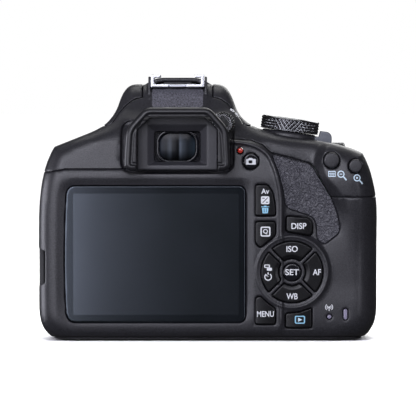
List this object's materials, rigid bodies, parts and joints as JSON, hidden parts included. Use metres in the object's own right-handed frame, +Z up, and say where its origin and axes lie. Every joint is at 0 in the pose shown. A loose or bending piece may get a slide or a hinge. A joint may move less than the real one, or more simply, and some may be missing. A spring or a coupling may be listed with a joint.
{
  "type": "digital single-lens reflex camera body",
  "caption": "Compact reflex camera body with a fixed rear screen, eyecup viewfinder, control pad, mode dial, pop-up flash, accessory shoe and open lens mount.",
  "frame": {"origin": "centre of the base of the bounding box", "axes": "+Y along the optical axis out of the lens mount, +X towards the grip (right-hand) side, +Z up"},
  "size_m": [0.129, 0.0776, 0.1013],
  "materials": {
    "body_plastic": "fine-grained matt black plastic with a faint blue cast",
    "soft_rubber": "soft matt black rubber, leather-grained on the grips",
    "button_plastic": "satin black plastic",
    "black_plastic": "matt black plastic",
    "card_plastic": "dark blue plastic",
    "screen_gloss": "polished black cover",
    "display_glass": "polished glass",
    "eyepiece_glass": "coated glass",
    "bright_steel": "bright plated steel",
    "silvered": "front-silvered",
    "board_green": "solder mask",
    "sensor": "iridescent filter glass",
    "gold_contacts": "gold-plated",
    "red_lamp": "translucent red",
    "clear_lamp": "translucent grey"
  },
  "bodies": {
    "body": {"rear_cover": "body_plastic", "front_cover": "body_plastic", "top_cover": "body_plastic", "bottom_plate": "body_plastic", "grip_rubber": "soft_rubber", "thumb_rest_rubber": "soft_rubber", "lcd_window": "screen_gloss", "lcd_panel": "display_glass", "recording_lamp": "red_lamp", "access_lamp": "clear_lamp", "self_timer_lamp": "clear_lamp", "button_board": "board_green", "main_board": "board_green", "flash_capacitor": "black_plastic", "image_sensor": "sensor", "shutter_unit": "black_plastic", "mirror_box": "black_plastic", "focusing_screen": "display_glass", "pentamirror": "silvered", "eyepiece_lens": "eyepiece_glass", "viewfinder_frame": "black_plastic", "lens_mount_ring": "bright_steel", "lens_contact_block": "gold_contacts", "accessory_shoe": "bright_steel", "shoe_contact_plate": "black_plastic", "strap_lug_left": "bright_steel", "strap_lug_right": "bright_steel", "tripod_socket": "bright_steel", "terminal_block": "black_plastic", "battery": "black_plastic", "memory_card": "card_plastic"},
    "exposure_button": {"exposure_button": "button_plastic"},
    "quick_button": {"quick_button": "button_plastic"},
    "menu_button": {"menu_button": "button_plastic"},
    "disp_button": {"disp_button": "button_plastic"},
    "playback_button": {"playback_button": "button_plastic"},
    "live_view_button": {"live_view_button": "button_plastic"},
    "set_button": {"set_button": "button_plastic"},
    "iso_key": {"iso_key": "button_plastic"},
    "drive_key": {"drive_key": "button_plastic"},
    "wb_key": {"wb_key": "button_plastic"},
    "af_key": {"af_key": "button_plastic"},
    "zoom_out_button": {"zoom_out_button": "button_plastic"},
    "zoom_in_button": {"zoom_in_button": "button_plastic"},
    "eyecup": {"eyecup": "soft_rubber"},
    "diopter_knob": {"diopter_knob": "button_plastic"},
    "mode_dial": {"mode_dial": "button_plastic"},
    "power_switch": {"power_switch": "button_plastic"},
    "main_dial": {"main_dial": "button_plastic"},
    "shutter_button": {"shutter_button": "button_plastic"},
    "flash_button": {"flash_button": "button_plastic"},
    "flash_head": {"flash_head": "body_plastic", "flash_window": "display_glass"},
    "lens_release_button": {"lens_release_button": "button_plastic"},
    "lens_lock_pin": {"lens_lock_pin": "bright_steel"},
    "reflex_mirror": {"reflex_mirror": "silvered"},
    "shutter_curtain": {"shutter_curtain": "black_plastic"},
    "battery_door": {"battery_door": "body_plastic"},
    "battery_door_latch": {"battery_door_latch": "button_plastic"},
    "terminal_cover": {"terminal_cover": "soft_rubber"}
  },
  "joints": [
    {"name": "exposure_button_press", "type": "slide", "parent": "body", "child": "exposure_button", "axis": [0, 1, 0], "range_m": [0, 0.0006], "stiffness_N_per_m": 800},
    {"name": "quick_button_press", "type": "slide", "parent": "body", "child": "quick_button", "axis": [0, 1, 0], "range_m": [0, 0.0006], "stiffness_N_per_m": 800},
    {"name": "menu_button_press", "type": "slide", "parent": "body", "child": "menu_button", "axis": [0, 1, 0], "range_m": [0, 0.0006], "stiffness_N_per_m": 800},
    {"name": "disp_button_press", "type": "slide", "parent": "body", "child": "disp_button", "axis": [0, 1, 0], "range_m": [0, 0.0006], "stiffness_N_per_m": 800},
    {"name": "playback_button_press", "type": "slide", "parent": "body", "child": "playback_button", "axis": [0, 1, 0], "range_m": [0, 0.0006], "stiffness_N_per_m": 800},
    {"name": "live_view_button_press", "type": "slide", "parent": "body", "child": "live_view_button", "axis": [0, 1, 0], "range_m": [0, 0.0006], "stiffness_N_per_m": 800},
    {"name": "set_button_press", "type": "slide", "parent": "body", "child": "set_button", "axis": [0, 1, 0], "range_m": [0, 0.0006], "stiffness_N_per_m": 800},
    {"name": "iso_key_press", "type": "slide", "parent": "body", "child": "iso_key", "axis": [0, 1, 0], "range_m": [0, 0.0006], "stiffness_N_per_m": 800},
    {"name": "drive_key_press", "type": "slide", "parent": "body", "child": "drive_key", "axis": [0, 1, 0], "range_m": [0, 0.0006], "stiffness_N_per_m": 800},
    {"name": "wb_key_press", "type": "slide", "parent": "body", "child": "wb_key", "axis": [0, 1, 0], "range_m": [0, 0.0006], "stiffness_N_per_m": 800},
    {"name": "af_key_press", "type": "slide", "parent": "body", "child": "af_key", "axis": [0, 1, 0], "range_m": [0, 0.0006], "stiffness_N_per_m": 800},
    {"name": "zoom_out_button_press", "type": "slide", "parent": "body", "child": "zoom_out_button", "axis": [0, 1, 0], "range_m": [0, 0.0006], "stiffness_N_per_m": 800},
    {"name": "zoom_in_button_press", "type": "slide", "parent": "body", "child": "zoom_in_button", "axis": [0, 1, 0], "range_m": [0, 0.0006], "stiffness_N_per_m": 800},
    {"name": "shutter_button_press", "type": "slide", "parent": "body", "child": "shutter_button", "axis": [0, -0.3697, -0.9291], "range_m": [0, 0.0014], "stiffness_N_per_m": 600},
    {"name": "flash_button_press", "type": "slide", "parent": "body", "child": "flash_button", "axis": [0, -0.3697, -0.9291], "range_m": [0, 0.0007], "stiffness_N_per_m": 800},
    {"name": "lens_release_press", "type": "slide", "parent": "body", "child": "lens_release_button", "axis": [0, -1, 0], "range_m": [0, 0.002], "stiffness_N_per_m": 600},
    {"name": "lens_lock_pin_retract", "type": "slide", "parent": "body", "child": "lens_lock_pin", "axis": [0, -1, 0], "range_m": [0, 0.002], "stiffness_N_per_m": 300},
    {"name": "mode_dial_turn", "type": "hinge", "parent": "body", "child": "mode_dial", "pos_m": [0.0309, -0.005, 0.0782], "axis": [0.134, 0, 0.991], "continuous": true},
    {"name": "power_switch_turn", "type": "hinge", "parent": "body", "child": "power_switch", "pos_m": [0.0309, -0.005, 0.0782], "axis": [0.134, 0, 0.991], "range_deg": [0, 28]},
    {"name": "main_dial_turn", "type": "hinge", "parent": "body", "child": "main_dial", "pos_m": [0.0495, 0.013, 0.0677], "axis": [1, 0, 0], "continuous": true},
    {"name": "diopter_turn", "type": "hinge", "parent": "body", "child": "diopter_knob", "pos_m": [0.0057, -0.0266, 0.0828], "axis": [0, 1, 0], "range_deg": [-140, 140]},
    {"name": "flash_raise", "type": "hinge", "parent": "body", "child": "flash_head", "pos_m": [-0.0116, -0.017, 0.0895], "axis": [1, 0, 0], "range_deg": [0, 52]},
    {"name": "mirror_flip", "type": "hinge", "parent": "body", "child": "reflex_mirror", "pos_m": [-0.0116, -0.0026, 0.0556], "axis": [1, 0, 0], "range_deg": [0, 44.5]},
    {"name": "shutter_travel", "type": "slide", "parent": "body", "child": "shutter_curtain", "axis": [0, 0, -1], "range_m": [0, 0.0182]},
    {"name": "battery_door_open", "type": "hinge", "parent": "body", "child": "battery_door", "pos_m": [0.056, 0.01, 0], "axis": [0, -1, 0], "range_deg": [0, 95]},
    {"name": "battery_latch_slide", "type": "slide", "parent": "battery_door", "child": "battery_door_latch", "axis": [1, 0, 0], "range_m": [0, 0.003], "stiffness_N_per_m": 200},
    {"name": "terminal_cover_open", "type": "hinge", "parent": "body", "child": "terminal_cover", "pos_m": [-0.0645, 0.007, 0.0327], "axis": [0, 0, -1], "range_deg": [0, 100]},
    {"name": "eyecup_lift", "type": "slide", "parent": "body", "child": "eyecup", "axis": [0, 0, 1], "range_m": [0, 0.022]}
  ],
  "couplings": [
    {"joint": "lens_lock_pin_retract", "follows": "lens_release_press", "ratio": 1}
  ]
}
